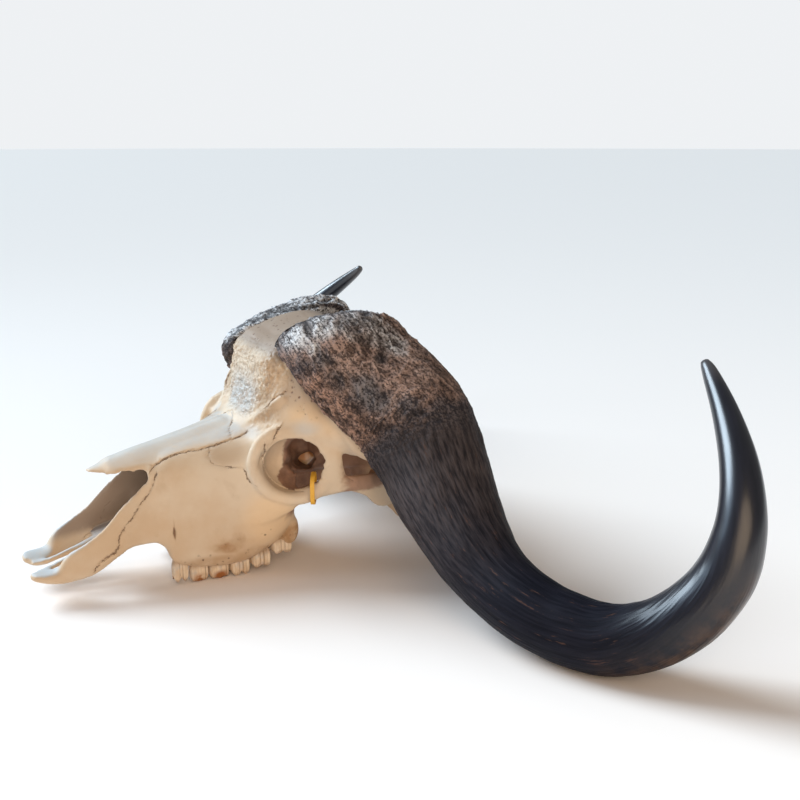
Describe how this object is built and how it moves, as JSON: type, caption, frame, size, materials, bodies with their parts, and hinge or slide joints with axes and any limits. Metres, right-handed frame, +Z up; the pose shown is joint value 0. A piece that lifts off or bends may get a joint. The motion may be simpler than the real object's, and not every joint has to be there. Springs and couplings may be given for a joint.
{
  "type": "horned animal skull",
  "caption": "Large bovine skull without its lower jaw, with broad-based horns that sweep down, out and up to points; a natural-history or display piece.",
  "frame": {"origin": "on the table under the middle of the object's box, below the back of the palate", "axes": "+X to the animal's left, along the spread of the horns; +Y to the back of the head, with the snout at -Y; +Z up from the table"},
  "size_m": [0.9676, 0.5509, 0.2722],
  "materials": {
    "bone": "matte",
    "horn": "satin",
    "tooth": "satin",
    "strap": "satin"
  },
  "bodies": {
    "root": {"skull": "bone", "horn_left": "horn", "horn_right": "horn", "premolar_2_left": "tooth", "premolar_2_right": "tooth", "premolar_3_left": "tooth", "premolar_3_right": "tooth", "premolar_4_left": "tooth", "premolar_4_right": "tooth", "molar_1_left": "tooth", "molar_1_right": "tooth", "molar_2_left": "tooth", "molar_2_right": "tooth", "molar_3_left": "tooth", "molar_3_right": "tooth", "tag_strap": "strap"}
  },
  "joints": []
}
